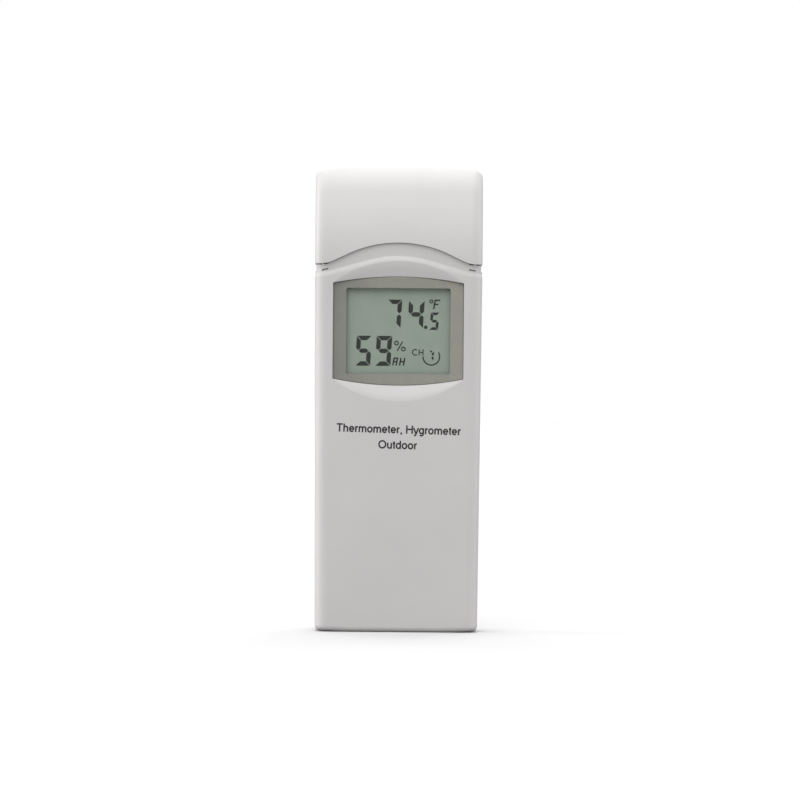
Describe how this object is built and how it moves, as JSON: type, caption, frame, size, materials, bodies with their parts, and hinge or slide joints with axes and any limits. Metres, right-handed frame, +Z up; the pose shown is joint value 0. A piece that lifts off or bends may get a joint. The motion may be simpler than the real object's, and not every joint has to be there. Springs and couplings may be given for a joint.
{
  "type": "thermo-hygrometer sensor",
  "caption": "Slim outdoor temperature and humidity sensor with a small display, a rain hood over a vented neck and a sliding battery door.",
  "frame": {"origin": "middle of the base, on the surface it stands on", "axes": "+Z up, -Y the display side, +X to the viewer's right"},
  "size_m": [0.0432, 0.021, 0.1214],
  "materials": {
    "case_plastic": "fine satin",
    "bezel_paint": "satin grey-silver paint",
    "clear_lens": "clear",
    "lcd_glass": "grey-green",
    "reflector": "satin",
    "holder_plastic": "plain",
    "strip_rubber": "plain",
    "board": "solder mask",
    "chip": "plain",
    "black_plastic": "plain",
    "steel": "plain",
    "screw_steel": "zinc",
    "copper": "plain",
    "sensor_white": "plain",
    "cell_jacket": "printed jacket",
    "switch_red": "plain",
    "button_black": "plain"
  },
  "bodies": {
    "case": {"front_case": "case_plastic", "rear_case": "case_plastic", "hood": "case_plastic", "display_bezel": "bezel_paint", "display_lens": "clear_lens", "lcd_front_glass": "lcd_glass", "lcd_rear_glass": "lcd_glass", "lcd_reflector": "reflector", "lcd_holder": "holder_plastic", "contact_strip_upper": "strip_rubber", "contact_strip_lower": "strip_rubber", "main_board": "board", "board_screw_left": "screw_steel", "board_screw_right": "screw_steel", "case_screw_left": "screw_steel", "case_screw_right": "screw_steel", "sensor_board": "board", "humidity_sensor": "sensor_white", "sensor_header": "black_plastic", "radio_module": "steel", "antenna": "copper", "controller_chip": "chip", "crystal": "steel", "battery_left": "cell_jacket", "battery_right": "cell_jacket", "positive_contact": "steel", "negative_contact": "steel", "bridge_contact": "steel", "negative_spring": "steel", "bridge_spring": "steel", "dip_switch": "switch_red", "reset_switch": "steel"},
    "door": {"battery_door": "case_plastic"},
    "reset_button": {"reset_plunger": "button_black"},
    "slider_1": {"dip_slider_1": "sensor_white"},
    "slider_2": {"dip_slider_2": "sensor_white"},
    "slider_3": {"dip_slider_3": "sensor_white"},
    "slider_4": {"dip_slider_4": "sensor_white"}
  },
  "joints": [
    {"name": "battery_door_slide", "type": "slide", "parent": "case", "child": "door", "axis": [0, 0, -1], "range_m": [0, 0.068]},
    {"name": "reset_press", "type": "slide", "parent": "case", "child": "reset_button", "axis": [0, -1, 0], "range_m": [0, 0.0005], "stiffness_N_per_m": 300},
    {"name": "dip_slide_1", "type": "slide", "parent": "case", "child": "slider_1", "axis": [0, 0, 1], "range_m": [0, 0.0018]},
    {"name": "dip_slide_2", "type": "slide", "parent": "case", "child": "slider_2", "axis": [0, 0, 1], "range_m": [0, 0.0018]},
    {"name": "dip_slide_3", "type": "slide", "parent": "case", "child": "slider_3", "axis": [0, 0, 1], "range_m": [0, 0.0018]},
    {"name": "dip_slide_4", "type": "slide", "parent": "case", "child": "slider_4", "axis": [0, 0, 1], "range_m": [0, 0.0018]}
  ]
}
